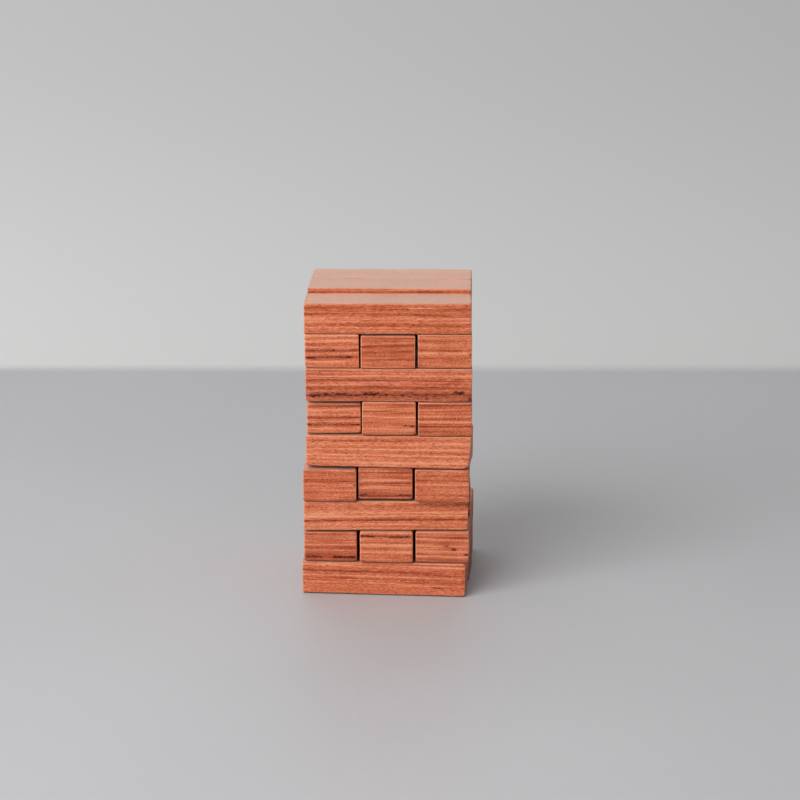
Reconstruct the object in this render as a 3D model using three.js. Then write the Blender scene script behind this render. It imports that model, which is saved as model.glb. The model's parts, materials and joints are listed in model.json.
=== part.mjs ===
// A small tumbling tower: nine courses of three loose wooden blocks, each course laid
// across the one below it. Millimetres and degrees, +Z up. The origin is the middle of
// the bottom course's middle block, on the table. +Y runs from the front to the back.
import * as THREE from 'three';

// Driving dimensions.
const BLOCK_LENGTH = 75;
const BLOCK_WIDTH = 24.3; // most blocks; a few are a little wider
const PITCH = 25.3; // from one block's middle to the next in a course
const SEAM = 0.1; // air between a course's thickest block and the course above
const ARRIS = 0.6; // radius of the sanded edges along the block
const END_ARRIS = 0.35; // the edges around the sawn ends are crisper
const ARRIS_STEPS = 2; // facets around each edge

// The two ways that a course is laid. The course's own X runs along its blocks: to the
// right in a long course, and out of the front in a deep one. Places run along its own Y.
const LONG = { heading: 0, places: ['front', 'middle', 'back'] };
const DEEP = { heading: -90, places: ['left', 'middle', 'right'] };

// The stain takes differently on each piece of wood.
const TONES = {
  pale: { color: 0xcf7449, roughness: 0.55 },
  warm: { color: 0xc0613d, roughness: 0.58 },
  dark: { color: 0xa94c31, roughness: 0.6 },
};

// The courses from the table up, as they were stacked by hand. A course is turned about
// the tower's axis and shifted a little. In a course, each block has its own thickness,
// and is pushed out along its length, aside across it, and skewed within the course. A
// few have a width of their own too.
const COURSES = [
  {
    lie: LONG,
    turn: -2.6,
    shift: [0, 0.5],
    blocks: [
      { thick: 15.7, tone: 'warm' },
      { thick: 16.0, tone: 'dark', out: 0.4 },
      { thick: 15.9, tone: 'warm', out: -0.4 },
    ],
  },
  {
    lie: DEEP,
    turn: -0.8,
    shift: [0.1, 0],
    blocks: [
      { thick: 13.9, tone: 'dark', out: -0.4, aside: -0.3 },
      { thick: 14.5, tone: 'warm', out: 0.7 },
      { thick: 14.4, wide: 24.6, tone: 'dark', out: -0.5, aside: 0.45, skew: -0.3 },
    ],
  },
  {
    lie: LONG,
    turn: 1.4,
    shift: [-0.6, 1.2],
    blocks: [
      { thick: 13.9, tone: 'pale', out: -0.9 },
      { thick: 14.3, tone: 'warm', out: 0.6 },
      { thick: 14.2, tone: 'warm', out: 0.2 },
    ],
  },
  {
    lie: DEEP,
    turn: 0,
    shift: [-0.4, 0],
    blocks: [
      { thick: 14.8, tone: 'warm', out: 0.7, aside: -0.5, skew: 0.2 },
      { thick: 15.5, wide: 24.7, tone: 'dark', out: -1.2, aside: -0.2, skew: -0.3 },
      { thick: 15.1, wide: 24.6, tone: 'warm', out: 0.9, aside: 0.05 },
    ],
  },
  {
    lie: LONG,
    turn: -1.7,
    shift: [0.8, -0.3],
    blocks: [
      { thick: 15.2, tone: 'pale', out: 0.9 },
      { thick: 15.3, tone: 'warm', out: -0.7 },
      { thick: 15.2, tone: 'pale', out: -1.7 },
    ],
  },
  {
    lie: DEEP,
    turn: 0.7,
    shift: [0.5, 0],
    blocks: [
      { thick: 14.4, wide: 24.4, tone: 'warm', out: -2.1, aside: 0.25 },
      { thick: 15.5, wide: 24.4, tone: 'pale', out: 0.3, aside: -0.05 },
      { thick: 15.4, tone: 'warm', out: 1.2, aside: -0.1 },
    ],
  },
  {
    lie: LONG,
    turn: 1.2,
    shift: [0, -0.5],
    blocks: [
      { thick: 15.2, tone: 'dark' },
      { thick: 15.1, tone: 'warm', out: -0.8 },
      { thick: 15.1, tone: 'dark', out: 0.5 },
    ],
  },
  {
    lie: DEEP,
    turn: 1.1,
    shift: [-0.1, 0],
    blocks: [
      { thick: 15.5, wide: 24.5, tone: 'warm', out: -0.3 },
      { thick: 15.0, wide: 24.5, tone: 'warm', out: 0.6, skew: -0.2 },
      { thick: 15.5, tone: 'pale', out: -0.4, aside: -0.2, skew: 0.3 },
    ],
  },
  {
    lie: LONG,
    turn: 0.5,
    shift: [0, 0.1],
    blocks: [
      { thick: 14.1, tone: 'pale', out: -0.1, aside: -0.2, skew: 0.6 },
      { thick: 15.8, tone: 'pale', aside: 0.2 },
      { thick: 15.8, tone: 'pale', out: 0.1, aside: -0.5 },
    ],
  },
];

// The block's section, standing upright, with a quarter circle at each corner.
function blockSection(thick, wide) {
  const across = wide / 2 - ARRIS;
  const up = thick / 2 - ARRIS;
  const section = new THREE.Shape();
  section.absarc(across, up, ARRIS, 0, Math.PI / 2);
  section.absarc(-across, up, ARRIS, Math.PI / 2, Math.PI);
  section.absarc(-across, -up, ARRIS, Math.PI, 1.5 * Math.PI);
  section.absarc(across, -up, ARRIS, 1.5 * Math.PI, 2 * Math.PI);
  return section;
}

// A block lies along X with all its twelve edges rounded, and stands on Z = 0.
function blockGeometry(thick, wide) {
  const geometry = new THREE.ExtrudeGeometry(blockSection(thick, wide), {
    depth: BLOCK_LENGTH - 2 * END_ARRIS,
    curveSegments: ARRIS_STEPS,
    bevelSegments: ARRIS_STEPS,
    bevelThickness: END_ARRIS,
    bevelSize: END_ARRIS,
    bevelOffset: -END_ARRIS,
  });
  const alongX = new THREE.Vector3(1, 0, 0);
  const alongY = new THREE.Vector3(0, 1, 0);
  const alongZ = new THREE.Vector3(0, 0, 1);
  geometry.translate(0, 0, END_ARRIS - BLOCK_LENGTH / 2);
  geometry.applyMatrix4(new THREE.Matrix4().makeBasis(alongY, alongZ, alongX));
  geometry.translate(0, 0, thick / 2);
  return geometry;
}

// One block in its course's own frame. The row is -1, 0 or 1 across the course.
function makeBlock(name, row, spec) {
  const { thick, wide = BLOCK_WIDTH, tone, out = 0, aside = 0, skew = 0 } = spec;
  const block = new THREE.Mesh(
    blockGeometry(thick, wide),
    new THREE.MeshStandardMaterial({ ...TONES[tone], metalness: 0 }),
  );
  block.name = name;
  block.position.set(out, row * PITCH + aside, 0);
  block.rotation.z = THREE.MathUtils.degToRad(skew);
  return block;
}

function makeCourse(number, level, { lie, turn, shift, blocks }) {
  const course = new THREE.Group();
  course.position.set(shift[0], shift[1], level);
  course.rotation.z = THREE.MathUtils.degToRad(lie.heading + turn);
  blocks.forEach((block, index) => {
    course.add(makeBlock(`course_${number}_${lie.places[index]}`, index - 1, block));
  });
  return course;
}

// Each course rests on the thickest block of the one below.
function makeTower() {
  const tower = new THREE.Group();
  let level = 0;
  COURSES.forEach((course, index) => {
    tower.add(makeCourse(index + 1, level, course));
    level += Math.max(...course.blocks.map((block) => block.thick)) + SEAM;
  });
  return tower;
}

export default makeTower();
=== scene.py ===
"""A table-size tumbling tower: 27 loose blocks of stained wood, nine courses of three.

Places are in metres, in the CAD's frame. A block's own shape and grain are worked out in
millimetres, in axes of its own: first along it, then across it, then up. A constant called
a spread holds the least and the most of a random draw, and one called waves holds the
shortest and the longest wave of a random field, in millimetres.
"""

import json
import math

import bpy
import numpy as np
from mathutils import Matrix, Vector


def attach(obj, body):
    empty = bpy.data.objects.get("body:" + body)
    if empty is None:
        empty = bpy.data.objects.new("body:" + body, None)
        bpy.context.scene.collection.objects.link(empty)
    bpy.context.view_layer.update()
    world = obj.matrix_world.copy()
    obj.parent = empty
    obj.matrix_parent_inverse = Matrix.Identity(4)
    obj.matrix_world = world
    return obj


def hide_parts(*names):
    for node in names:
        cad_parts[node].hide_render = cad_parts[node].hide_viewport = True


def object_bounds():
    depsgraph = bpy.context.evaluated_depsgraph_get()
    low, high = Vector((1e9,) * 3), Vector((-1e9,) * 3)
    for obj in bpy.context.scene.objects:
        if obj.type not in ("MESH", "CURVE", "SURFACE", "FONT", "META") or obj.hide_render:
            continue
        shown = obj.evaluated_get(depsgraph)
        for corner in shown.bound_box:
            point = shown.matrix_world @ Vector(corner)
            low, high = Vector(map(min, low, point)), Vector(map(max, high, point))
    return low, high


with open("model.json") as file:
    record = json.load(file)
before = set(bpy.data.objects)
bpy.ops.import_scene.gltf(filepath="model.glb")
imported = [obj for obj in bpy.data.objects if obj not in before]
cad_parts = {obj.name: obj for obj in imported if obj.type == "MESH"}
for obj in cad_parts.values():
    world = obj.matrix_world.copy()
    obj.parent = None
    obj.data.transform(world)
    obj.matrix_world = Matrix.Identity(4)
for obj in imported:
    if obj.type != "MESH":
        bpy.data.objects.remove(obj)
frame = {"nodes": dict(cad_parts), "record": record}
cad_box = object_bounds()
MM = 0.001

# Camera, as seen by someone sitting at the table. Angles are in degrees.
CAMERA_AZIMUTH = 2.1
CAMERA_ELEVATION = 13.9
CAMERA_DISTANCE = 1.097
CAMERA_LENS = 106.05
AIM = Vector((0.0045, 0.0, 0.0833))

# Stage: a table whose back edge is rounded over, and a wall well behind it. Distances are
# from the tower's axis.
TABLE_BACK = 0.449
TABLE_ROLL = 0.03
ROLL_STEPS = 12
TABLE_REACH = 3.0
WALL_AT = 1.6
WALL_REACH = 4.0
WALL_FOOT, WALL_TOP = -1.5, 3.0

# The table's paint: fine brush marks from left to right and wide clouds, as waves in a metre
# of each axis. A painted highlight brightens it by a share on its way to the back edge.
BRUSH_MARKS = (140, 420, 1)
PAINT_CLOUDS = (3, 3, 3)
TABLE_GREYS = ((0.475, 0.481, 0.495), (0.523, 0.530, 0.545))
TABLE_ROUGHNESS = (0.44, 0.56)
TABLE_EDGE_PAINTED_HIGHLIGHT = (TABLE_BACK - 0.04, TABLE_BACK - 0.023, 0.0, 0.27)

# The wall's paint: the heights where it changes from one grey to the other, painted shade that
# darkens it towards the top, and the heights and shares of the painted shade at its foot.
WALL_GREYS = ((0.822, 0.827, 0.831), (0.645, 0.653, 0.671))
WALL_FADE = (-0.3, 0.2)
WALL_FOOT_SHADE = (-0.276, -0.269, 0.2, 0.0)
SHADE_GREY = (0.3, 0.3, 0.3)

# The room's own light: its strength on the left, where the window is, and on the right.
ROOM_LEFT, ROOM_RIGHT = 0.45, 0.245
ROOM_COLOUR = (1.0, 0.972, 0.95, 1)

# Block shape, in millimetres along, across and up. The mesh is cut at shares of an edge's
# radius, and into cells between the edges.
EDGE_RADIUS = np.array([0.45, 0.6, 0.6])
EDGE_STOPS = (0.0, 0.22, 0.5, 0.78)
CELL = (1.25, 1.1, 0.4)
CORNERS = [(a, b, c) for a in (-1, 1) for b in (-1, 1) for c in (-1, 1)]
OUT_OF_TRUE = 0.12
FACE_RIPPLE = 0.06
FACE_WAVES = (6, 30)
RIPPLE_TERMS = 9

# Wear that rounds the edges and corners more: everywhere, at each corner, and in a few
# knocks along the edges, 5 to 9 of them.
WEAR_SHARE = 0.35
WEAR_WAVES = (5, 26)
WEAR_LIMITS = (0.45, 1.7)
CORNER_WEAR_SPREAD = (0.1, 0.55)
CORNER_REACH = 1.3
KNOCK_COUNTS = (5, 10)
KNOCK_LENGTH_SPREAD = (0.5, 2.2)
KNOCK_REACH = 2
KNOCK_WEAR_SPREAD = (0.1, 0.45)

# Corners that are knocked well round: block, (along, across, up) signs, radius added. Then
# how far that reaches from the corner.
BLUNT_CORNERS = {
    "course_7_front": [((-1, -1, -1), 0.9), ((1, -1, -1), 0.5)],
    "course_5_front": [((1, -1, -1), 0.6)],
    "course_3_front": [((1, -1, -1), 0.3)],
}
BLUNT_REACH = 2.2

# Corners that fall short of square: block, (along, across, up) signs, millimetres short.
SHORT_CORNERS = {
    "course_5_front": [
        ((1, -1, -1), (1.0, 0, 0)),
        ((-1, -1, -1), (0, 0, 0.5)),
        ((-1, -1, 1), (0, 0, 0.4)),
    ],
    "course_3_front": [((1, -1, -1), (0, 0, 0.3))],
    "course_1_front": [((-1, -1, -1), (0, 0, 0.35)), ((1, -1, -1), (0, 0, 0.15))],
    "course_4_middle": [((1, -1, -1), (0, 0, 0.5)), ((1, 1, -1), (0, 0, 0.7))],
    "course_6_left": [((1, 1, -1), (0, 0, 0.4))],
}

# Growth layers that stand out: block, then (height up the block, strength) pairs. Heights
# run from 0 to 1. A strength is below 0 in a dark layer and above 0 in a pale one.
LAYERS = {
    "course_9_front": ((0.84, -0.8), (0.66, -0.6), (0.53, 0.5), (0.41, 0.6), (0.28, -0.5)),
    "course_8_left": (
        (0.93, 0.5), (0.85, -0.5), (0.78, 0.6), (0.67, -0.3), (0.59, 0.6), (0.5, -0.9),
        (0.4, 0.5), (0.3, -0.9), (0.16, 0.7),
    ),
    "course_8_middle": ((0.78, 0.6), (0.69, -0.8), (0.5, -0.6), (0.34, 0.5), (0.26, -0.5)),
    "course_8_right": (
        (0.8, -0.6), (0.66, 0.5), (0.53, -0.7), (0.44, 0.8), (0.3, -0.5), (0.07, -0.4),
    ),
    "course_7_front": (
        (0.78, 0.6), (0.66, -0.6), (0.55, 0.6), (0.44, -0.4), (0.34, 0.5), (0.21, -0.8),
    ),
    "course_6_left": (
        (0.91, -0.7), (0.78, 0.7), (0.66, 0.7), (0.53, -0.9), (0.41, 0.6), (0.3, -0.7),
        (0.19, 0.8),
    ),
    "course_6_middle": ((0.91, -0.5), (0.71, -1.1), (0.56, 0.8), (0.34, -0.2), (0.19, 0.6)),
    "course_6_right": (
        (0.91, -0.5), (0.78, 0.4), (0.59, 0.7), (0.41, 0.6), (0.28, -0.6), (0.1, -0.5),
    ),
    "course_5_front": (
        (0.87, -0.5), (0.76, 0.3), (0.59, 0.5), (0.5, -0.3), (0.41, 0.6), (0.19, 0.5),
    ),
    "course_4_left": ((0.84, -0.25), (0.66, -0.45), (0.56, 0.45), (0.41, 0.35), (0.31, -0.35)),
    "course_4_middle": (
        (0.84, -0.6), (0.75, 0.5), (0.59, 0.7), (0.49, -0.5), (0.36, 0.5), (0.1, -0.9),
    ),
    "course_4_right": ((0.81, -0.5), (0.66, -0.4), (0.54, 0.6), (0.37, 0.4), (0.2, -0.6)),
    "course_3_front": ((0.85, -0.5), (0.59, 0.8), (0.5, 0.6), (0.36, -1.2), (0.2, 0.4)),
    "course_2_left": ((0.7, 0.6), (0.59, 0.7), (0.48, -0.6), (0.4, 0.6), (0.16, -0.8)),
    "course_2_middle": (
        (0.88, -1.0), (0.78, 0.4), (0.66, -0.6), (0.59, 0.8), (0.47, -0.7), (0.35, 0.8),
    ),
    "course_2_right": (
        (0.87, -0.6), (0.78, 0.7), (0.7, -0.5), (0.58, 0.8), (0.41, 0.6), (0.3, -0.6),
        (0.22, 0.7), (0.12, -0.5),
    ),
    "course_1_front": ((0.92, 0.8), (0.68, -1.0), (0.56, 0.5), (0.46, -0.5), (0.34, 0.6)),
}
# How growth layers vary. Gaps are shares of the block's height, half thickness and wander
# are in millimetres, and the two slopes are the standard deviations of random ones.
LAYER_GAP_SPREAD = (0.1, 0.17)
LAYER_STRENGTH_SPREAD = (0.3, 1.0)
LAYER_HALF_SPREAD = (0.36, 0.54)
LAYER_WANDER = 0.16
LAYER_WAVES = (18, 60)
LAYER_SWELL = 0.35
SWELL_WAVES = (7, 40)
LAYER_SLOPE_ALONG = 0.005
LAYER_SLOPE_ACROSS = 0.01
# Layers that climb or fall along the block, as a slope.
LAYER_SLOPES = {"course_3_front": 0.013, "course_1_front": -0.014}

# Blocks that are paler or darker all over than their kind of wood.
TONES = {
    "course_8_left": 0.09,
    "course_8_middle": -0.02,
    "course_8_right": 0.03,
    "course_7_front": 0.01,
    "course_6_left": 0.03,
    "course_6_middle": 0.04,
    "course_6_right": -0.04,
    "course_5_front": 0.05,
    "course_4_left": -0.04,
    "course_4_middle": 0.01,
    "course_4_right": -0.04,
    "course_3_front": 0.04,
    "course_2_left": -0.01,
    "course_2_middle": 0.08,
    "course_2_right": 0.09,
    "course_1_front": -0.02,
}

# Dark stains and knots: block, then side, (start, end) along it, height up it, half
# thickness in millimetres, strength. Start, end and height run from 0 to 1.
MARKS = {
    "course_7_front": [
        ("front", 0.02, 0.99, 0.2, 2.0, 0.6),
        ("front", 0.03, 0.24, 0.21, 1.5, 0.85),
        ("front", 0.04, 0.1, 0.16, 0.9, 0.95),
        ("front", 0.26, 0.5, 0.22, 0.8, 0.85),
        ("front", 0.35, 0.45, 0.25, 1.3, 1.0),
        ("front", 0.36, 0.46, 0.48, 0.4, 0.5),
        ("front", 0.6, 0.65, 0.27, 0.9, 0.75),
        ("front", 0.66, 0.86, 0.12, 0.8, 0.7),
        ("front", 0.89, 0.95, 0.26, 1.2, 1.1),
        ("front", 0.0, 0.015, 0.3, 4.5, 0.5),
        ("front", 0.97, 1.0, 0.12, 1.5, 0.8),
        ("front", 0.05, 0.6, 0.68, 0.3, 0.4),
    ],
    "course_8_left": [
        ("end", 0.04, 0.95, 0.51, 0.6, 0.6),
        ("end", 0.5, 0.55, 0.52, 0.6, 1.1),
        ("end", 0.05, 0.16, 0.5, 0.6, 0.8),
        ("end", 0.02, 0.19, 0.3, 0.55, 1.05),
        ("end", 0.22, 0.5, 0.31, 0.5, 0.75),
        ("end", 0.55, 0.68, 0.32, 0.5, 0.9),
        ("end", 0.72, 0.86, 0.32, 0.6, 1.05),
        ("end", 0.12, 0.7, 0.26, 0.4, 0.6),
    ],
    "course_8_middle": [
        ("end", 0.18, 0.28, 0.5, 0.4, 0.9),
        ("end", 0.1, 0.6, 0.7, 0.35, 0.4),
        ("end", 0.05, 0.9, 0.22, 0.3, 0.35),
    ],
    "course_8_right": [
        ("end", 0.95, 0.99, 0.42, 0.6, 0.8),
        ("end", 0.45, 0.55, 0.53, 0.35, 0.5),
        ("end", 0.0, 0.06, 0.1, 0.8, 0.6),
    ],
    "course_6_left": [
        ("end", 0.02, 0.98, 0.3, 0.35, 0.65),
        ("end", 0.0, 0.08, 0.3, 0.5, 1.0),
        ("end", 0.2, 0.5, 0.34, 0.35, 0.8),
        ("end", 0.82, 0.98, 0.29, 0.5, 1.0),
        ("end", 0.55, 0.62, 0.31, 0.5, 0.9),
        ("end", 0.0, 0.9, 0.54, 0.3, 0.55),
        ("end", 0.1, 0.3, 0.42, 0.3, 0.6),
        ("end", 0.65, 0.98, 0.9, 0.4, 0.6),
    ],
    "course_6_middle": [
        ("end", 0.77, 0.98, 0.29, 0.45, 1.1),
        ("end", 0.5, 0.8, 0.34, 0.3, 0.5),
        ("end", 0.05, 0.6, 0.7, 0.3, 0.3),
    ],
    "course_6_right": [("end", 0.0, 0.6, 0.28, 0.3, 0.35), ("end", 0.96, 1.0, 0.6, 2.0, 0.4)],
    "course_5_front": [("front", 0.4, 0.41, 0.77, 0.6, 0.8)],
    "course_4_left": [
        ("end", 0.95, 0.98, 0.52, 0.6, 1.0),
        ("end", 0.0, 0.9, 0.63, 0.25, 0.5),
        ("end", 0.9, 1.0, 0.85, 0.4, 0.6),
    ],
    "course_4_middle": [
        ("end", 0.0, 0.16, 0.13, 0.5, 1.0),
        ("end", 0.1, 0.95, 0.5, 0.3, 0.4),
        ("end", 0.3, 0.7, 0.12, 0.35, 0.6),
        ("end", 0.72, 0.98, 0.12, 0.55, 1.0),
        ("end", 0.3, 0.36, 0.3, 0.3, 0.7),
    ],
    "course_4_right": [("end", 0.95, 1.0, 0.2, 0.8, 0.5), ("end", 0.0, 0.4, 0.82, 0.25, 0.4)],
    "course_3_front": [
        ("front", 0.4, 0.66, 0.38, 0.6, 0.5),
        ("front", 0.0, 0.2, 0.34, 0.6, 0.4),
        ("front", 0.52, 0.6, 0.42, 0.4, 0.6),
    ],
    "course_2_left": [
        ("end", 0.05, 0.34, 0.15, 0.6, 1.0),
        ("end", 0.4, 0.5, 0.13, 0.4, 0.6),
        ("end", 0.55, 0.97, 0.15, 0.8, 1.1),
        ("end", 0.0, 0.3, 0.22, 0.7, 0.5),
    ],
    "course_2_middle": [
        ("end", 0.02, 0.28, 0.87, 0.6, 1.0),
        ("end", 0.38, 0.5, 0.87, 0.5, 0.7),
        ("end", 0.55, 0.93, 0.86, 0.6, 1.0),
    ],
    "course_2_right": [
        ("end", 0.55, 0.6, 0.56, 0.6, 1.0),
        ("end", 0.68, 0.76, 0.45, 0.7, 1.1),
        ("end", 0.62, 0.66, 0.5, 0.4, 0.6),
        ("end", 0.93, 0.98, 0.27, 0.6, 1.1),
        ("end", 0.25, 0.45, 0.16, 0.3, 0.6),
    ],
    "course_1_front": [
        ("front", 0.0, 0.9, 0.68, 0.35, 0.5),
        ("front", 0.8, 0.87, 0.27, 0.4, 0.9),
        ("front", 0.64, 0.75, 0.4, 0.3, 0.7),
    ],
}

# How a stain or knot spreads, in millimetres: past its ends, in from the surface, and how
# far it wavers up and down.
MARK_FADE = 0.6
MARK_DEPTH = 9
MARK_DRIFT = 0.18
MARK_WAVES = (6, 30)

# Right-hand faces low down that are darker with painted shade: block, then the face's axis
# (0 along the block, 1 across it) and how much darker it is.
PAINTED_SHADE_FACES = {"course_2_right": (1, 0.3), "course_1_middle": (0, 0.4), "course_1_back": (0, 0.3)}
SHADE_FACE_DEPTH = 0.3
# Blocks whose edges show less wear and painted highlight than the rest, as a share; how far
# from an edge the wear and its painted highlight reach, and how far up the painted shade
# under a block reaches.
EDGE_WEAR_AND_HIGHLIGHT = {"course_9_middle": 0.5, "course_9_back": 0.5}
WEAR_AND_HIGHLIGHT_STRIP = 0.85
PAINTED_SHADE_HEIGHT = 0.7

# Where a block was sawn from the log. The standard deviations of the growth rings' tilt in
# degrees, their slope along the block and the block's place to the side of the pith, then
# the depth of the pith, and how far along the log a block may come from.
RING_TILT = 1.2
RING_SLOPE = 0.006
PITH_ASIDE = 6
PITH_SPREAD = (70, 160)
LOG_SPREAD = (-2000, 2000)

# The colours of each kind of wood, from dark to pale, and the tones that they stand for.
WOODS = {
    "stained_wood_pale": (
        (0.27, 0.046, 0.014), (0.45, 0.092, 0.033), (0.60, 0.152, 0.066),
        (0.70, 0.215, 0.107), (0.79, 0.32, 0.185),
    ),
    "stained_wood_warm": (
        (0.25, 0.040, 0.012), (0.42, 0.080, 0.029), (0.565, 0.134, 0.057),
        (0.68, 0.20, 0.097), (0.77, 0.30, 0.17),
    ),
    "stained_wood_dark": (
        (0.22, 0.033, 0.010), (0.38, 0.070, 0.026), (0.52, 0.119, 0.050),
        (0.64, 0.18, 0.088), (0.74, 0.275, 0.155),
    ),
}
WOOD_TONES = (0.05, 0.28, 0.5, 0.7, 0.9)
ORANGER_WOOD = (1.0, 0.96, 0.72)
# Also the colour of the painted shade under the blocks.
PORE_AND_SHADE_COLOUR = (0.10, 0.018, 0.010)
STAIN_COLOUR = (0.15, 0.025, 0.015)
BLOT_COLOUR = (0.045, 0.011, 0.006)
# Worn edges, partly painted highlight.
RUBBED_AND_HIGHLIGHT_WOOD = (0.92, 0.46, 0.27)
# Painted sheen on the broad faces.
PAINTED_SHEEN_WOOD = (0.715, 0.378, 0.22)

# The grain's noise fields: waves in a millimetre along the log and the two ways across it,
# then the noise's detail and roughness. The log is bent by one such field too.
GRAIN = {
    "line": ((0.006, 0.018, 1.3), 2, 0.7),
    "thread": ((0.012, 0.03, 1.8), 1, 0.5),
    "streak": ((0.04, 0.14, 2.1), 2, 0.6),
    "speck": ((0.65, 1.25, 2.7), 2, 0.6),
    "pore": ((0.5, 1.6, 2.4), 1, 0.5),
    "blob": ((0.55, 0.9, 1.3), 2, 0.7),
    "cloud": ((0.035, 0.09, 0.12), 1, 0.5),
    "hue": ((0.05, 0.12, 0.55), 1, 0.5),
}
GRAIN_BEND = (0.02, 0.05, 0.08)
# How much each of them, a growth layer and a pale thread change the tone.
GRAIN_WEIGHTS = {"line": 1.1, "streak": 0.5, "speck": 1.25, "cloud": 0.3}
LAYER_WEIGHT = 0.4
THREAD_WEIGHT = 0.16
# How much a whole block may differ in tone, and the first block's random seed.
TONE_SPREAD = (-0.03, 0.03)
FIRST_SEED = 100


# ---------------------------------------------------------------- block shapes


def lie_of(node):
    """A block's middle, half sizes and axes, in metres, read from its CAD solid. Its first
    axis runs along it, to the right or out of the front."""
    points = np.empty(len(node.data.vertices) * 3)
    node.data.vertices.foreach_get("co", points)
    points = np.unique(points.reshape(-1, 3).round(6), axis=0)
    middle = (points.min(0) + points.max(0)) / 2
    spread = np.cov((points - middle)[:, :2].T)
    along = np.linalg.eigh(spread)[1][:, 1]
    if along[0] < along[1]:
        along = -along
    axes = np.array([[along[0], along[1], 0], [-along[1], along[0], 0], [0, 0, 1]])
    half = np.abs((points - middle) @ axes.T).max(0)
    return middle, half, axes


def stops_along(half, radius, cell):
    """Where the mesh is cut along one axis: finely over each rounded edge, then evenly."""
    edge = radius * np.array(EDGE_STOPS)
    inner = half - radius
    even = np.linspace(-inner, inner, round(2 * inner / cell) + 1)
    return np.concatenate([edge - half, even, half - edge[::-1]])


def side_quads(ids, turned):
    """The quads of one side of the shell, from its grid of point numbers."""
    corners = [ids[:-1, :-1], ids[1:, :-1], ids[1:, 1:], ids[:-1, 1:]]
    if turned:
        corners.reverse()
    return np.stack(corners, -1).reshape(-1, 4)


def shell(stops):
    """Points and quads on the outside of the box that the stops cut up."""
    counts = [len(s) for s in stops]
    grid = np.stack(np.meshgrid(*stops, indexing="ij"), -1)
    place = np.stack(np.meshgrid(*[np.arange(n) for n in counts], indexing="ij"), -1)
    outside = ((place == 0) | (place == np.array(counts) - 1)).any(-1)
    ids = np.full(counts, -1)
    ids[outside] = np.arange(outside.sum())
    quads = [
        side_quads(ids[0], True),
        side_quads(ids[-1], False),
        side_quads(ids[:, 0], False),
        side_quads(ids[:, -1], True),
        side_quads(ids[:, :, 0], True),
        side_quads(ids[:, :, -1], False),
    ]
    return grid[outside], np.concatenate(quads)


def ripple(points, waves, rng):
    """A smooth random field over the points, mostly from -1 to 1."""
    total = np.zeros(len(points))
    for _ in range(RIPPLE_TERMS):
        way = rng.normal(size=3)
        way /= np.linalg.norm(way)
        length = rng.uniform(*waves)
        total += np.sin(points @ way * math.tau / length + rng.uniform(0, math.tau))
    return total / math.sqrt(RIPPLE_TERMS)


def corner_share(points, half, corner):
    """How much each point belongs to one corner of the block, from 0 to 1."""
    return np.prod(0.5 + 0.5 * np.array(corner) * np.clip(points / half, -1, 1), axis=1)


def closeness(points, spot, reach):
    """1 at the spot, falling smoothly to 0 a few reaches away from it."""
    return np.exp(-(((points - spot) / reach) ** 2).sum(1))


def edge_radii(name, points, half, rng):
    """The rounding of the edges near each point, with wear, knocks and blunt corners."""
    worn = 1 + WEAR_SHARE * ripple(points, WEAR_WAVES, rng)
    extra = np.zeros(len(points))
    for corner in CORNERS:
        distance = np.linalg.norm(points - half * np.array(corner), axis=1)
        extra += rng.uniform(*CORNER_WEAR_SPREAD) * np.exp(-distance / CORNER_REACH)
    for corner, radius in BLUNT_CORNERS.get(name, []):
        extra += radius * closeness(points, half * np.array(corner), BLUNT_REACH)
    for _ in range(rng.integers(*KNOCK_COUNTS)):
        across, up = rng.choice([-1, 1], 2)
        spot = np.array([rng.uniform(-half[0], half[0]), across * half[1], up * half[2]])
        reach = np.array([rng.uniform(*KNOCK_LENGTH_SPREAD), KNOCK_REACH, KNOCK_REACH])
        near = closeness(points, spot, reach)
        extra += rng.uniform(*KNOCK_WEAR_SPREAD) * near
    return EDGE_RADIUS * np.clip(worn, *WEAR_LIMITS)[:, None] + extra[:, None]


def shaped(name, points, half, rng):
    """The block's surface: rounded, a little out of true and a little uneven. Nothing
    moves outwards, so it stays inside its CAD solid."""
    radii = edge_radii(name, points, half, rng)
    inner = half - radii
    core = np.clip(points, -inner, inner)
    away = (points - core) / radii
    away /= np.maximum(np.linalg.norm(away, axis=1), 1)[:, None]
    made = core + away * radii
    sunk = FACE_RIPPLE * (0.5 + 0.5 * np.clip(ripple(points, FACE_WAVES, rng), -1, 1))
    made -= away * sunk[:, None]
    for corner in CORNERS:
        short = rng.uniform(0, OUT_OF_TRUE, 3) * np.array(corner)
        made -= corner_share(points, half, corner)[:, None] * short
    for corner, lost in SHORT_CORNERS.get(name, []):
        made -= corner_share(points, half, corner)[:, None] * np.array(lost) * np.array(corner)
    return made


# ------------------------------------------------- what the wood shows at each point


def in_plan(points):
    """The points without their heights, so that a field stays the same up the block."""
    return points * [1, 1, 0]


def edge_wear_and_highlight(points, half):
    """1 on an edge, falling to 0 a little way in from it: the worn edges, partly painted
    highlight.
    """
    gap = np.sort(half - np.abs(points), axis=1)[:, 1]
    return np.clip(1 - gap / WEAR_AND_HIGHLIGHT_STRIP, 0, 1)


def painted_shade_under(points, half):
    """Painted shade under the block: 1 on the lower edges, falling to 0 a little way up the
    sides.
    """
    return np.clip(1 - (points[:, 2] + half[2]) / PAINTED_SHADE_HEIGHT, 0, 1)


def on_broad_face(points, half):
    """1 on the broad top and bottom, 0 on the sides and the sawn ends."""
    nearest_face = np.argmin(half - np.abs(points), axis=1)
    return (nearest_face == 2).astype(float)


def some_layers(rng):
    """Growth layers for a block that has none of its own listed: dark and pale in turn."""
    layers = []
    height, sign = rng.uniform(0, LAYER_GAP_SPREAD[1]), rng.choice([-1, 1])
    while height < 1:
        layers.append((height, sign * rng.uniform(*LAYER_STRENGTH_SPREAD)))
        height += rng.uniform(*LAYER_GAP_SPREAD)
        sign = -sign
    return layers


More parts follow.
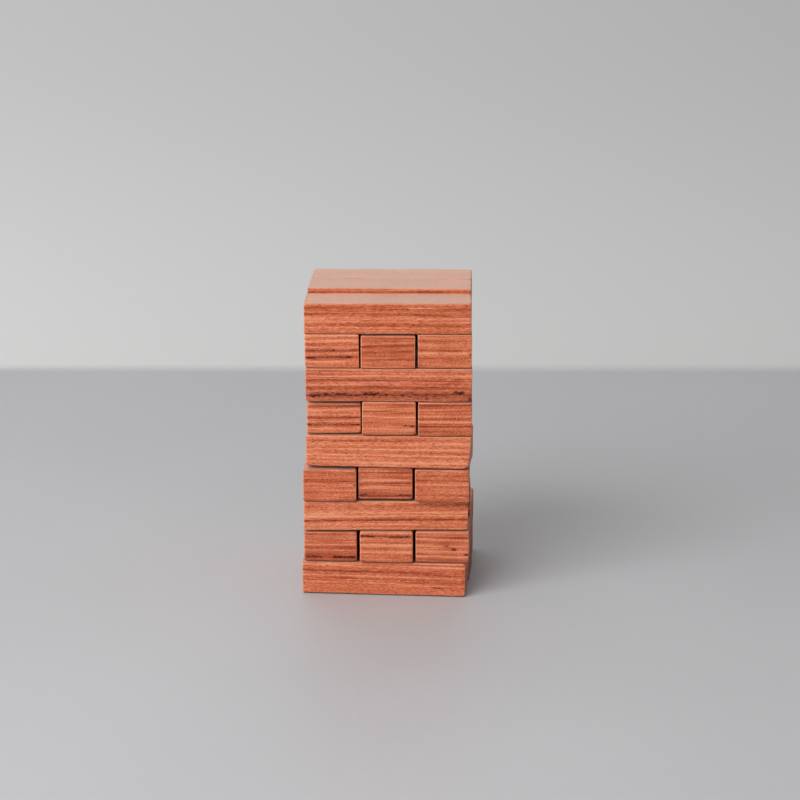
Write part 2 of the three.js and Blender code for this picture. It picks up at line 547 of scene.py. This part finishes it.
def layers_on(name, points, half, rng):
    """How much paler or darker the growth layers make each point, about -1 to 1."""
    total = np.zeros(len(points))
    slope = LAYER_SLOPES.get(name, rng.normal(0, LAYER_SLOPE_ALONG))
    wander = LAYER_WANDER * ripple(in_plan(points), LAYER_WAVES, rng)
    lean = rng.normal(0, LAYER_SLOPE_ACROSS)
    height = points[:, 2] - slope * points[:, 0] - lean * points[:, 1] - wander
    for share, strength in LAYERS.get(name) or some_layers(rng):
        gap = (height - (2 * share - 1) * half[2]) / rng.uniform(*LAYER_HALF_SPREAD)
        swell = 1 + LAYER_SWELL * ripple(points, SWELL_WAVES, rng)
        total += strength * swell * np.exp(-(gap**2))
    return total


def marks_on(name, points, half, rng):
    """How dark a stain or knot makes each point, from 0 to about 1."""
    dark = np.zeros(len(points))
    for side, start, end, height, thick, strength in MARKS.get(name, []):
        run = 0 if side == "front" else 1
        at = (points[:, run] / half[run] + 1) / 2
        length = 2 * half[run]
        before = np.maximum(start - at, 0) * length
        after = np.maximum(at - end, 0) * length
        drift = MARK_DRIFT * ripple(in_plan(points), MARK_WAVES, rng)
        slope = LAYER_SLOPES.get(name, 0) * points[:, 0]
        above = points[:, 2] - (2 * height - 1) * half[2] - drift - slope
        depth = half[0] - points[:, 0] if side == "end" else points[:, 1] + half[1]
        gaps = np.stack([(before + after) / MARK_FADE, above / thick, depth / MARK_DEPTH])
        dark = np.maximum(dark, strength * np.exp(-(gaps**2).sum(0)))
    return dark


def painted_shade_on(name, points, half):
    """How much darker each point is on a face with painted shade."""
    axis, darker = PAINTED_SHADE_FACES.get(name, (0, 0.0))
    depth = half[axis] - points[:, axis]
    return darker * np.exp(-((depth / SHADE_FACE_DEPTH) ** 2))


def log_coordinates(points, rng):
    """Where each point was in the log, in millimetres: along it, then two ways across it
    from the pith. Broad faces lie along the growth rings."""
    tilt = math.radians(rng.normal(0, RING_TILT))
    slope = rng.normal(0, RING_SLOPE)
    pith = rng.uniform(*PITH_SPREAD) * rng.choice([-1, 1])
    along = points[:, 0] + rng.uniform(*LOG_SPREAD)
    aside = points[:, 1] * math.cos(tilt) - points[:, 2] * math.sin(tilt)
    aside += rng.normal(0, PITH_ASIDE)
    up = points[:, 1] * math.sin(tilt) + points[:, 2] * math.cos(tilt) + pith
    return np.stack([along, aside, up + slope * points[:, 0]], 1)


def set_attribute(mesh, name, values):
    """Values at the mesh's points, for its material to read: numbers or vectors."""
    values = np.ascontiguousarray(values, np.float32)
    kind, field = ("FLOAT", "value") if values.ndim == 1 else ("FLOAT_VECTOR", "vector")
    mesh.attributes.new(name, kind, "POINT").data.foreach_set(field, values.ravel())


def make_block(name, seed):
    """One block as a piece, in the place of its CAD node."""
    rng = np.random.default_rng(seed)
    middle, half, axes = lie_of(frame["nodes"][name])
    half = half / MM
    stops = [stops_along(h, r, c) for h, r, c in zip(half, EDGE_RADIUS, CELL)]
    points, quads = shell(stops)
    surface = shaped(name, points, half, rng)
    placed = surface * MM @ axes + middle
    mesh = bpy.data.meshes.new(name + "_wood")
    mesh.from_pydata(placed.tolist(), [], quads.tolist())
    mesh.validate()
    mesh.shade_smooth()
    set_attribute(mesh, "log", log_coordinates(surface, rng))
    # Worn edges, partly painted highlight.
    set_attribute(mesh, "edge", edge_wear_and_highlight(points, half) * EDGE_WEAR_AND_HIGHLIGHT.get(name, 1))
    # Painted shade along the lower edges of each block.
    set_attribute(mesh, "seam_shade", painted_shade_under(points, half))
    set_attribute(mesh, "broad", on_broad_face(points, half))
    set_attribute(mesh, "layer", layers_on(name, points, half, rng))
    set_attribute(mesh, "mark", marks_on(name, points, half, rng))
    tone = rng.uniform(*TONE_SPREAD) + TONES.get(name, 0)
    # The tone also carries painted shade on right-hand faces low down.
    set_attribute(mesh, "tone", tone - painted_shade_on(name, points, half))
    piece = bpy.data.objects.new(name + "_block", mesh)
    bpy.context.scene.collection.objects.link(piece)
    return piece


# ---------------------------------------------------------------- materials


class Graph:
    """Short names for the shader nodes that the materials use."""

    def __init__(self, material):
        material.use_nodes = True
        self.tree = material.node_tree
        self.shader = self.tree.nodes["Principled BSDF"]

    def put(self, value, socket):
        if isinstance(value, bpy.types.NodeSocket):
            self.tree.links.new(value, socket)
        elif value is not None:
            socket.default_value = value

    def attribute(self, name, output="Fac"):
        node = self.tree.nodes.new("ShaderNodeAttribute")
        node.attribute_name = name
        return node.outputs[output]

    def math(self, operation, a, b=None, c=None, clamp=False):
        node = self.tree.nodes.new("ShaderNodeMath")
        node.operation = operation
        node.use_clamp = clamp
        for value, socket in zip((a, b, c), node.inputs):
            self.put(value, socket)
        return node.outputs[0]

    def add(self, base, *terms):
        """The base, plus the first of each pair times its second."""
        for value, weight in terms:
            base = self.math("MULTIPLY_ADD", value, weight, base)
        return base

    def vector(self, operation, a, b):
        node = self.tree.nodes.new("ShaderNodeVectorMath")
        node.operation = operation
        self.put(a, node.inputs[0])
        self.put(b, node.inputs[1])
        return node.outputs["Vector"]

    def combine(self, x, y, z):
        node = self.tree.nodes.new("ShaderNodeCombineXYZ")
        for value, socket in zip((x, y, z), node.inputs):
            self.put(value, socket)
        return node.outputs[0]

    def noise(self, place, fineness, detail, roughness=0.5):
        """A noise field. The fineness is how many waves it has in a unit of each axis."""
        node = self.tree.nodes.new("ShaderNodeTexNoise")
        self.put(self.vector("MULTIPLY", place, fineness), node.inputs["Vector"])
        node.inputs["Scale"].default_value = 1.0
        node.inputs["Detail"].default_value = detail
        node.inputs["Roughness"].default_value = roughness
        return node.outputs[0]

    def range(self, value, low, high, to_low=0.0, to_high=1.0):
        node = self.tree.nodes.new("ShaderNodeMapRange")
        node.interpolation_type = "SMOOTHSTEP"
        for given, socket in zip((value, low, high, to_low, to_high), node.inputs):
            self.put(given, socket)
        return node.outputs[0]

    def ramp(self, value, positions, colours):
        node = self.tree.nodes.new("ShaderNodeValToRGB")
        elements = node.color_ramp.elements
        while len(elements) < len(colours):
            elements.new(0.5)
        for element, position, colour in zip(elements, positions, colours):
            element.position = position
            element.color = (*colour, 1)
        self.put(value, node.inputs[0])
        return node.outputs[0]

    def mix(self, share, a, b, blend="MIX"):
        node = self.tree.nodes.new("ShaderNodeMix")
        node.data_type = "RGBA"
        node.blend_type = blend
        self.put(share, node.inputs["Factor"])
        for value, socket in ((a, node.inputs[6]), (b, node.inputs[7])):
            self.put((*value, 1) if isinstance(value, tuple) else value, socket)
        return node.outputs[2]

    def bump(self, height, distance, strength):
        node = self.tree.nodes.new("ShaderNodeBump")
        node.inputs["Strength"].default_value = strength
        node.inputs["Distance"].default_value = distance
        self.put(height, node.inputs["Height"])
        return node.outputs[0]


def grain_fields(g):
    """The grain's noise fields, all stretched along the log. The log's axes are bent a
    little first, so that no line runs dead straight."""
    log = g.attribute("log", "Vector")
    bend = g.noise(log, GRAIN_BEND, 1)
    bent = g.vector("ADD", log, g.combine(0.0, 0.0, bend))
    return {name: g.noise(bent, *field) for name, field in GRAIN.items()}


def wood_colour(g, grain, layer, colours):
    """Growth layers, fine crisp lines, fibre streaks and specks, from dark to pale."""
    centred = {name: g.math("SUBTRACT", grain[name], 0.5) for name in GRAIN_WEIGHTS}
    level = g.add(0.5, (layer, LAYER_WEIGHT))
    level = g.add(level, *((centred[name], GRAIN_WEIGHTS[name]) for name in centred))
    level = g.add(level, (g.range(grain["thread"], 0.58, 0.68), THREAD_WEIGHT))
    level = g.add(level, (g.attribute("tone"), 1.0))
    colour = g.ramp(level, WOOD_TONES, colours)
    return g.mix(g.range(grain["hue"], 0.5, 0.7, 0.0, 0.4), colour, ORANGER_WOOD, "MULTIPLY")


def pores(g, grain, layer):
    """1 in a pore. There are more of them in the dark layers."""
    limit = g.add(0.7, (layer, 0.07))
    return g.range(grain["pore"], g.math("SUBTRACT", limit, 0.06), limit)


def blots(g, grain, mark):
    """1 in the ragged, darker blots of a stain or knot."""
    ragged = g.add(mark, (g.math("SUBTRACT", grain["blob"], 0.5), 2.4))
    return g.math("MULTIPLY", g.range(ragged, 0.55, 1.05), g.range(mark, 0.15, 0.45))


def stained_wood(slot, colours):
    """Wood stained orange-red, with pores, dark stains and knots, broad faces paler with painted
    sheen, paler worn edges that are partly painted highlight, and painted shade along the lower
    edges. The colours run dark to pale."""
    material = bpy.data.materials.new(slot)
    g = Graph(material)
    grain = grain_fields(g)
    edge = g.attribute("edge")
    layer = g.attribute("layer")
    mark = g.attribute("mark")
    pore = pores(g, grain, layer)
    blot = blots(g, grain, mark)
    # The broad faces are planed and handled, so they are smoother. Their paler colour is
    # painted sheen.
    off_edge = g.range(edge, 0.25, 0.65, 1.0, 0.0)
    broad = g.math("MULTIPLY", g.math("GREATER_THAN", g.attribute("broad"), 0.5), off_edge)
    # Worn edges let the pale wood through; the pale edges are partly painted highlight.
    rubbed_and_highlight = g.math("MULTIPLY", g.range(edge, 0.3, 0.9), g.range(grain["streak"], 0.3, 0.6, 0.5))

    colour = wood_colour(g, grain, layer, colours)
    # What lies over the wood, from the lowest up: where, how strongly and its colour.
    over = (
        (pore, 0.5, PORE_AND_SHADE_COLOUR),
        (mark, 0.6, STAIN_COLOUR),
        (blot, 0.9, BLOT_COLOUR),
        # Painted sheen: the broad faces paler, as grazing light shows them.
        (broad, 0.62, PAINTED_SHEEN_WOOD),
        # Worn edges, paler, partly painted highlight.
        (rubbed_and_highlight, 0.45, RUBBED_AND_HIGHLIGHT_WOOD),
        # Painted shade in the seams under each block, in the pores' colour.
        (g.attribute("seam_shade"), 0.55, PORE_AND_SHADE_COLOUR),
    )
    for share, strength, tint in over:
        colour = g.mix(g.math("MULTIPLY", share, strength, clamp=True), colour, tint)
    g.put(colour, g.shader.inputs["Base Color"])

    rough = g.add(0.4, (grain["streak"], 0.2), (edge, 0.2), (broad, -0.18), (pore, 0.15))
    g.put(rough, g.shader.inputs["Roughness"])
    shine = g.add(0.24, (broad, 0.26))
    shine = g.add(shine, (g.math("MULTIPLY", blot, shine), -0.8))
    g.put(shine, g.shader.inputs["Specular IOR Level"])
    g.shader.inputs["IOR"].default_value = 1.5
    g.put(g.math("MULTIPLY", broad, 0.22), g.shader.inputs["Sheen Weight"])
    g.shader.inputs["Sheen Roughness"].default_value = 0.4
    height = g.math("SUBTRACT", g.add(grain["line"], (grain["speck"], 0.6)), pore)
    g.put(g.bump(height, 0.0001, 0.8), g.shader.inputs["Normal"])
    return material


def painted_table():
    """Pale grey satin paint, brushed on. The rounded back edge has a painted highlight, for the
    light it would pick up from the wall."""
    material = bpy.data.materials.new("table_paint")
    g = Graph(material)
    place = g.tree.nodes.new("ShaderNodeTexCoord").outputs["Object"]
    brushed = g.noise(place, BRUSH_MARKS, 4, 0.6)
    cloudy = g.noise(place, PAINT_CLOUDS, 2)
    level = g.add(0.0, (brushed, 0.3), (cloudy, 0.7))
    colour = g.ramp(level, (0.3, 0.7), TABLE_GREYS)
    # Painted highlight: white mixed in towards the back edge.
    lit = g.range(g.attribute("place"), *TABLE_EDGE_PAINTED_HIGHLIGHT)
    g.put(g.mix(lit, colour, (1.0, 1.0, 1.0)), g.shader.inputs["Base Color"])
    g.put(g.range(brushed, 0.3, 0.7, *TABLE_ROUGHNESS), g.shader.inputs["Roughness"])
    g.shader.inputs["Specular IOR Level"].default_value = 0.36
    g.put(g.bump(brushed, 0.0002, 0.5), g.shader.inputs["Normal"])
    return material


def plain_wall():
    """Off-white paint, with painted shade that darkens it towards the top. Its foot, behind the
    table, has soft painted shade."""
    material = bpy.data.materials.new("wall_paint")
    g = Graph(material)
    height = g.attribute("place")
    # Painted shade: darker towards the top.
    colour = g.mix(g.range(height, *WALL_FADE), *WALL_GREYS)
    # Painted shade at the foot of the wall.
    colour = g.mix(g.range(height, *WALL_FOOT_SHADE), colour, SHADE_GREY)
    g.put(colour, g.shader.inputs["Base Color"])
    g.shader.inputs["Roughness"].default_value = 0.9
    return material


# ---------------------------------------------------------------- camera, stage, lights


def direction(azimuth, elevation):
    """From the tower towards a viewer. Azimuth 0 is in front and 90 on the right."""
    a, e = math.radians(azimuth), math.radians(elevation)
    return Vector((math.sin(a) * math.cos(e), -math.cos(a) * math.cos(e), math.sin(e)))


def point_at(thing, aim, azimuth, elevation, distance):
    """Put a camera or light at a distance from what it aims at, in that direction."""
    back = direction(azimuth, elevation)
    thing.location = aim + back * distance
    thing.rotation_euler = (-back).to_track_quat("-Z", "Y").to_euler()
    bpy.context.scene.collection.objects.link(thing)


def make_camera():
    data = bpy.data.cameras.new("camera")
    data.lens = CAMERA_LENS
    data.clip_start = 0.01
    data.clip_end = 50
    camera = bpy.data.objects.new("camera", data)
    point_at(camera, AIM, CAMERA_AZIMUTH, CAMERA_ELEVATION, CAMERA_DISTANCE)
    bpy.context.scene.camera = camera


def facing(points):
    """Points of the stage, turned about the tower to face the camera squarely."""
    turn = math.radians(CAMERA_AZIMUTH)
    cos, sin = math.cos(turn), math.sin(turn)
    return [(x * cos - y * sin, x * sin + y * cos, z) for x, y, z in points]


def make_sheet(name, outline, faces, material, place):
    """A sheet of the stage. The attribute "place" is how far back or up each point is."""
    mesh = bpy.data.meshes.new(name)
    mesh.from_pydata(facing(outline), [], faces)
    mesh.shade_smooth()
    set_attribute(mesh, "place", [point[place] for point in outline])
    mesh.materials.append(material)
    sheet = bpy.data.objects.new(name, mesh)
    bpy.context.scene.collection.objects.link(sheet)


def make_table():
    """A flat top, then a quarter turn down at the back edge."""
    profile = [(-TABLE_REACH, 0.0), (TABLE_BACK - TABLE_ROLL, 0.0)]
    for step in range(1, ROLL_STEPS + 1):
        turn = math.radians(90 * step / ROLL_STEPS)
        y = TABLE_BACK - TABLE_ROLL + TABLE_ROLL * math.sin(turn)
        profile.append((y, TABLE_ROLL * (math.cos(turn) - 1)))
    outline = [(x, y, z) for y, z in profile for x in (-TABLE_REACH, TABLE_REACH)]
    faces = [(2 * i, 2 * i + 1, 2 * i + 3, 2 * i + 2) for i in range(len(profile) - 1)]
    make_sheet("table", outline, faces, painted_table(), 1)


def make_wall():
    left, right = -WALL_REACH, WALL_REACH
    corners = [(left, WALL_FOOT), (right, WALL_FOOT), (right, WALL_TOP), (left, WALL_TOP)]
    outline = [(x, WALL_AT, z) for x, z in corners]
    make_sheet("wall", outline, [(0, 1, 2, 3)], plain_wall(), 2)


def make_light(name, aim, azimuth, elevation, distance, size, watts, colour):
    data = bpy.data.lights.new(name, "AREA")
    data.shape = "RECTANGLE"
    data.size, data.size_y = size
    data.energy = watts
    data.color = colour
    light = bpy.data.objects.new(name, data)
    point_at(light, aim, azimuth, elevation, distance)
    light.visible_camera = False


def make_lights(tower):
    """A window on the left, a weak light from behind, and one that washes the wall."""
    make_light(
        "window", tower, azimuth=-36, elevation=33, distance=1.6,
        size=(1.3, 1.3), watts=27, colour=(0.985, 0.985, 0.99),
    )
    make_light(
        "sky", tower, azimuth=-168, elevation=42, distance=1.7,
        size=(1.8, 1.0), watts=5.5, colour=(1.0, 1.0, 1.0),
    )
    low_on_wall = Vector((-0.9, WALL_AT, -0.45))
    make_light(
        "wall_wash", low_on_wall, azimuth=-50, elevation=-5, distance=1.8,
        size=(0.9, 0.6), watts=17, colour=(1.0, 0.995, 0.985),
    )


def make_room():
    """The light from the room all round, stronger on the window's side."""
    world = bpy.data.worlds.new("room")
    world.use_nodes = True
    nodes, links = world.node_tree.nodes, world.node_tree.links
    split = nodes.new("ShaderNodeSeparateXYZ")
    links.new(nodes.new("ShaderNodeTexCoord").outputs["Generated"], split.inputs[0])
    fade = nodes.new("ShaderNodeMapRange")
    links.new(split.outputs["X"], fade.inputs["Value"])
    fade.inputs["From Min"].default_value = -1.0
    fade.inputs["To Min"].default_value = ROOM_LEFT
    fade.inputs["To Max"].default_value = ROOM_RIGHT
    background = nodes["Background"]
    background.inputs["Color"].default_value = ROOM_COLOUR
    links.new(fade.outputs[0], background.inputs["Strength"])
    bpy.context.scene.world = world


# ---------------------------------------------------------------- the scene

bpy.context.scene.view_settings.view_transform = "Standard"
make_camera()
make_table()
make_wall()
make_lights((cad_box[0] + cad_box[1]) / 2)
make_room()

woods = {slot: stained_wood(slot, colours) for slot, colours in WOODS.items()}
slots = {row["node"]: row["material_slot"] for row in frame["record"]["subparts"]}
for index, (name, slot) in enumerate(sorted(slots.items())):
    piece = make_block(name, FIRST_SEED + index)
    piece.data.materials.append(woods[slot])
    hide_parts(name)
    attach(piece, name)
